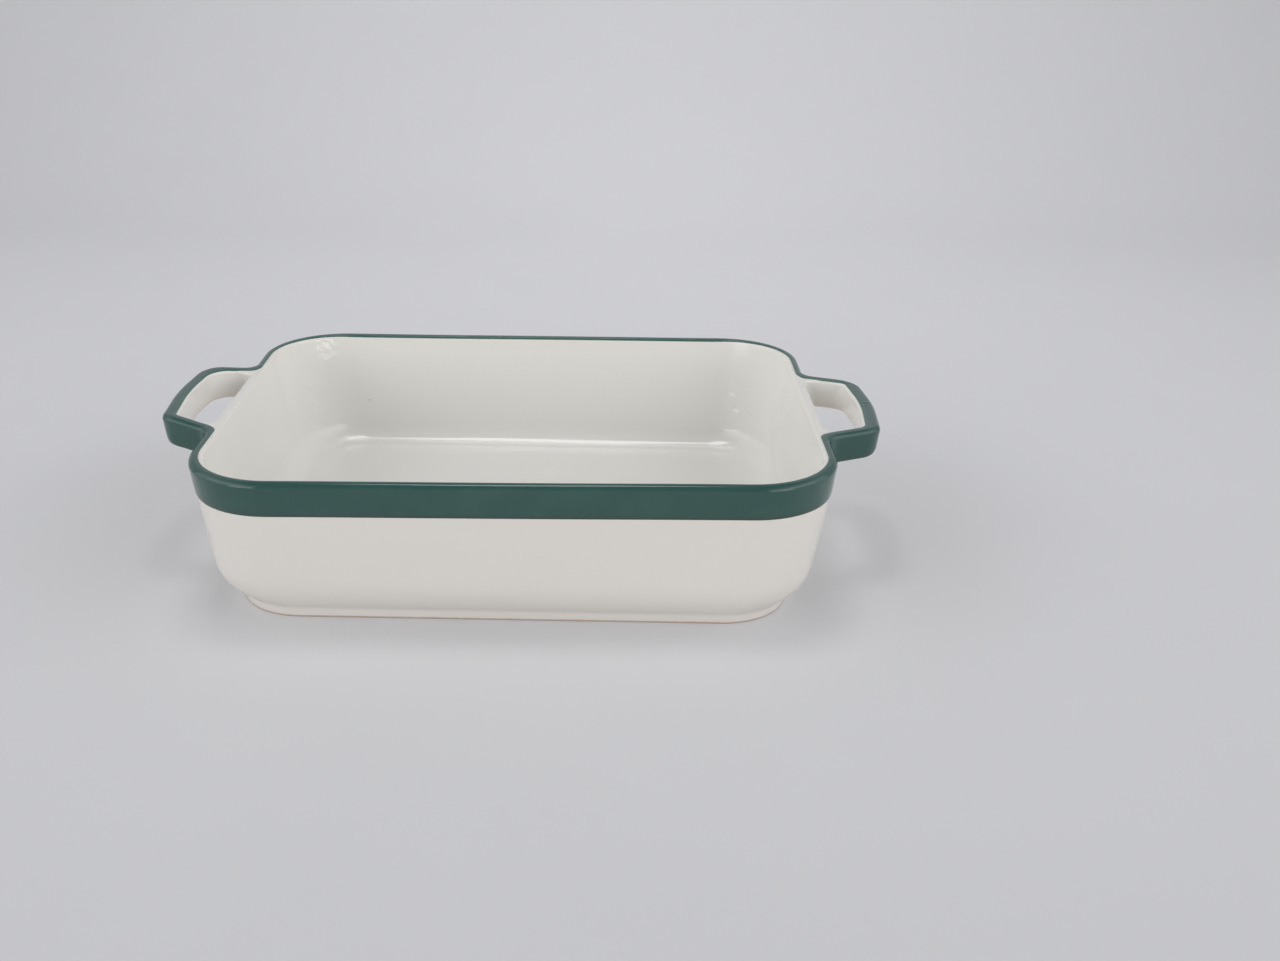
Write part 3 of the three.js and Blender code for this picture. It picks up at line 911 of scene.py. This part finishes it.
class DISH_OT_handles(bpy.types.Operator):
    """Makes the two loop handles, white inside and below, with rounded edges"""

    bl_idname = "dish.handles"
    bl_label = "Make the handles"

    def execute(self, context):
        shape, finish = context.scene.dish_shape, context.scene.dish_finish
        plan, section = Plan(shape), Section(shape)
        glaze = white_glaze(finish, "White glaze, dipped on the handles")
        low = section.handle_bottom
        edge = EDGE_STEPS + 1
        rounding = [BAR_LOWER_EDGE * (1 - math.cos(math.pi / 2 * k / EDGE_STEPS)) for k in range(edge)]
        lower = [Vector((section.outer_inset(low + up), low + up)) for up in rounding]
        wall = section.outer_wall(lower[-1].y, section.outer_base, count=4)[1:-1]
        outer = [*lower, *wall, *section.outer_lip()]

        top = section.crest - HANDLE_TOP_EDGE
        base = low + SLOT_LOWER_EDGE
        inner = [
            *section_arc(HANDLE_TOP_EDGE, top, HANDLE_TOP_EDGE, 90, 0, EDGE_STEPS),
            *[Vector((0, top + (base - top) * k / SLOT_STEPS)) for k in range(1, SLOT_STEPS)],
            *section_arc(SLOT_LOWER_EDGE, base, SLOT_LOWER_EDGE, 0, -90, EDGE_STEPS),
        ]
        # Warmer and darker along a handle's lower edges
        under, clear = [UNDER_HANDLE_WARMTH] * edge, [0] * (len(outer) - edge)
        slot_top, slot_side = [THIN_ON_EDGE] * edge, [THIN_IN_SLOT] * (SLOT_STEPS - 1)
        thin = [*under, *clear, *slot_top, *slot_side, *under]
        for node, turn in (("handle_right", 1), ("handle_left", -1)):
            rows = []
            for point in outer:
                insets = section.handle_insets(point)
                ends = outer_ends(insets[2])
                outside = plan.handle_outside(*insets, ends[:2] if turn > 0 else ends[2:])
                rows.append(at_height(outside, point.y))
            for point in inner:
                rise = (point.y - low) / (section.crest - low)
                tight = SLOT_LOWER_END_RADIUS + (SLOT_END_RADIUS - SLOT_LOWER_END_RADIUS) * rise
                first = tight if turn > 0 else SOFT_END_RADIUS
                slot = plan.handle_inside(point.x, section.outer_inset(point.y), (first, tight))
                rows.append(at_height(slot, point.y))

            # The feet dip under the lip, so that their ends are hidden
            for row in rows:
                for point in row:
                    sunk = plan.half_length - point.x
                    point.z -= HANDLE_DIP * smooth_step(sunk, HANDLE_DIP_START, HANDLE_SUNK)
            turned = [[Vector((turn * p.x, turn * p.y, p.z)) for p in row] for row in rows]
            piece = lofted(
                node + "_loop", turned, shape, is_ring=True, is_strip=True, marks={"thin": thin}
            )
            stand_for(piece, node, glaze)
        return {"FINISHED"}


class DISH_OT_rim_glaze(bpy.types.Operator):
    """Makes the green glaze in one band over the rim and round both handles, running out thin at its edges"""

    bl_idname = "dish.rim_glaze"
    bl_label = "Make the green rim"

    def execute(self, context):
        shape, finish = context.scene.dish_shape, context.scene.dish_finish
        plan, section = Plan(shape), Section(shape)
        low = section.band_bottom
        face = [Vector((section.outer_inset(low + up), low + up)) for up, _, _ in GREEN_RUN_OUT]
        wall = section.outer_wall(face[-1].y, section.outer_base, count=6)[1:-1]
        points = [*face, *wall, *section.outer_lip()]
        lifts = [lift for _, lift, _ in GREEN_RUN_OUT] + [GREEN_COAT] * (len(points) - len(face))
        rows = []
        for point in lifted(points, lifts):
            # On the handles the band ends higher, at their own lower edge
            height = section.on_handle(point.y)
            shift = section.outer_inset(height) - section.outer_inset(point.y)
            _, leg, bar = section.handle_insets(Vector((point.x + shift, height)))
            loop = plan.rim(point.x, leg, bar, NECK_RADIUS + point.x, *outer_ends(bar))
            row = at_height(loop, point.y)
            for corner in row:
                corner.z += (height - point.y) * plan.past_wall(corner.x, *BAND_CHANGE)
            rows.append(row)

        # Over the flat crest, and a little way down into the finger slots and down the back wall
        lip = LIP_OUTER_RADIUS
        start = (lip, lip, lip, NECK_RADIUS + lip, *outer_ends(lip))
        end = (STRIPE_ON_LIP, STRIPE_ON_LEG, STRIPE_ON_BAR, STRIPE_NECK_RADIUS, *STRIPE_ENDS)
        for share, lift, fall, _ in GREEN_ON_CREST:
            loop = plan.rim(*[a + (b - a) * share for a, b in zip(start, end)])
            row = at_height(loop, section.crest + lift)
            for point in row:
                on_handle = plan.past_wall(point.x, *STRIPE_CHANGE)
                at_back = smooth_step(point.y, *STRIPE_BACK)
                point.z -= fall * max(STRIPE_FALL * on_handle, STRIPE_BACK_FALL * at_back)
                point.y -= STRIPE_BACK_WANDER * share * at_back
            rows.append(row)
        brown, worn = [row[-1] for row in GREEN_RUN_OUT], [row[-1] for row in GREEN_ON_CREST]
        lower_edge = brown + [0] * (len(rows) - len(brown))
        thin = [0] * (len(rows) - len(worn)) + worn
        piece = lofted("rim_glaze_band", rows, shape, marks={"lower_edge": lower_edge, "thin": thin})
        stand_for(piece, "rim_glaze", green_glaze(finish))
        return {"FINISHED"}


class DISH_OT_stage(bpy.types.Operator):
    """Sets the dish on an opal sweep between soft lamps, seen from a little above its long side"""

    bl_idname = "dish.stage"
    bl_label = "Set the stage"

    def execute(self, context):
        scene = context.scene

        # A sheet that lies flat under the dish and bends up behind it, as y and z in metres
        flat, radius = 0.7, 0.6
        profile = [(-2.4, 0.0), (-1.2, 0.0), (0.0, 0.0), (flat, 0.0)]
        bend = [math.radians(5 * k) for k in range(1, 17)]
        profile += [(flat + radius * math.sin(a), radius - radius * math.cos(a)) for a in bend]
        profile.append((1.35, 1.6))
        sides = (-3.0, 3.0)
        mesh = bpy.data.meshes.new("opal_sweep")
        points = [(x, y, z) for y, z in profile for x in sides]
        faces = [(2 * k, 2 * k + 1, 2 * k + 3, 2 * k + 2) for k in range(len(profile) - 1)]
        mesh.from_pydata(points, [], faces)
        mesh.shade_smooth()
        sweep = bpy.data.objects.new("opal_sweep", mesh)
        scene.collection.objects.link(sweep)
        mesh.materials.append(opal_sheet(scene.dish_finish))

        # A softbox overhead, long ones along both sides and low ones in front of these, all aimed at the
        # middle of the dish and given as place, width, depth and radiance
        middle = Vector((0, 0, 40 * MM))
        lamps = {
            "lamp_over": ((-0.06, 0.1, 1.25), 0.46, 0.38, 4.9),
            "lamp_left": ((-1.0, -0.6, 0.8), 1.6, 0.5, 1.0),
            "lamp_right": ((1.0, -0.6, 0.8), 1.6, 0.5, 1.0),
            "lamp_low_left": ((-1.2, -1.5, 0.4), 1.0, 0.6, 2.25),
            "lamp_low_right": ((1.2, -1.5, 0.4), 1.0, 0.6, 2.2),
        }
        for name, (place, width, depth, radiance) in lamps.items():
            light = bpy.data.lights.new(name, "AREA")
            light.shape = "RECTANGLE"
            light.size, light.size_y = width, depth
            light.energy = radiance * math.pi * width * depth
            lamp = bpy.data.objects.new(name, light)
            lamp.location = place
            lamp.rotation_euler = (middle - lamp.location).to_track_quat("-Z", "Y").to_euler()
            scene.collection.objects.link(lamp)

        # The room round the stage, pale at both sides and along the horizon, dim overhead and in front
        dim, at_side, at_level = 0.14, 1.25, 0.75
        world = bpy.data.worlds.new("Pale room")
        world.use_nodes = True
        world.node_tree.nodes.clear()
        direction = add(world, "TexCoord").outputs["Generated"]
        parts = add(world, "SeparateXYZ", {0: direction}).outputs
        sideways = add(world, "Math", {0: parts["X"]}, operation="ABSOLUTE")
        sides = add(
            world,
            "MapRange",
            {0: sideways.outputs[0], 1: 0.3, 2: 0.75, 3: dim, 4: at_side},
            interpolation_type="SMOOTHSTEP",
        )
        horizon = add(
            world,
            "MapRange",
            {0: parts["Z"], 1: 0.06, 2: 0.36, 3: at_level, 4: dim},
            interpolation_type="SMOOTHSTEP",
        )
        strength = add(
            world, "Math", {0: sides.outputs[0], 1: horizon.outputs[0]}, operation="MAXIMUM"
        )
        light = add(
            world, "Background", {"Color": linear(ROOM_COLOUR), "Strength": strength.outputs[0]}
        )
        add(world, "OutputWorld", {"Surface": light.outputs[0]})
        scene.world = world

        # Camera fitted to the view, with its focal length in pixels of an image so many pixels wide
        focal, image_width, sensor_width = 1400, 1280, 36.0
        eye = (39.57 * MM, -650.61 * MM, 292.77 * MM)
        yaw, pitch, roll = 0.027, 0.385, 0.020
        forward = math.cos(pitch)
        ahead = Vector((math.sin(yaw) * forward, math.cos(yaw) * forward, -math.sin(pitch)))
        level = Vector((math.cos(yaw), -math.sin(yaw), 0))
        upward = level.cross(ahead)
        across = math.cos(roll) * level + math.sin(roll) * upward
        up = math.cos(roll) * upward - math.sin(roll) * level
        facing = Matrix((across, up, -ahead)).transposed().to_4x4()
        camera = bpy.data.objects.new("camera", bpy.data.cameras.new("camera"))
        camera.data.sensor_fit = "HORIZONTAL"
        camera.data.sensor_width = sensor_width
        camera.data.lens = sensor_width * focal / image_width
        camera.matrix_world = Matrix.Translation(eye) @ facing
        scene.collection.objects.link(camera)
        scene.camera = camera
        scene.view_settings.view_transform = "Standard"
        return {"FINISHED"}


class DISH_PT_sidebar(bpy.types.Panel):
    """Lists the dish's sizes, finishes and steps"""

    bl_idname = "DISH_PT_sidebar"
    bl_label = "Roasting dish"
    bl_space_type = "VIEW_3D"
    bl_region_type = "UI"
    bl_category = "Dish"

    def draw(self, context):
        scene = context.scene
        for title, group in (("Sizes", scene.dish_shape), ("Finishes", scene.dish_finish)):
            box = self.layout.box()
            box.label(text=title)
            for name in group.bl_rna.properties.keys():
                if name not in ("rna_type", "name"):
                    box.prop(group, name)
        for step in STEPS:
            self.layout.operator(step.bl_idname)


STEPS = (
    DISH_OT_basin,
    DISH_OT_foot_ring,
    DISH_OT_white_coats,
    DISH_OT_handles,
    DISH_OT_rim_glaze,
    DISH_OT_stage,
)
CLASSES = (DishShape, DishFinish, *STEPS, DISH_PT_sidebar)


def register():
    for cls in CLASSES:
        bpy.utils.register_class(cls)
    bpy.types.Scene.dish_shape = PointerProperty(type=DishShape)
    bpy.types.Scene.dish_finish = PointerProperty(type=DishFinish)


def unregister():
    del bpy.types.Scene.dish_finish
    del bpy.types.Scene.dish_shape
    for cls in reversed(CLASSES):
        bpy.utils.unregister_class(cls)


def main():
    register()
    bpy.ops.dish.basin()
    bpy.ops.dish.foot_ring()
    bpy.ops.dish.white_coats()
    bpy.ops.dish.handles()
    bpy.ops.dish.rim_glaze()
    bpy.ops.dish.stage()


if __name__ == "__main__":
    main()
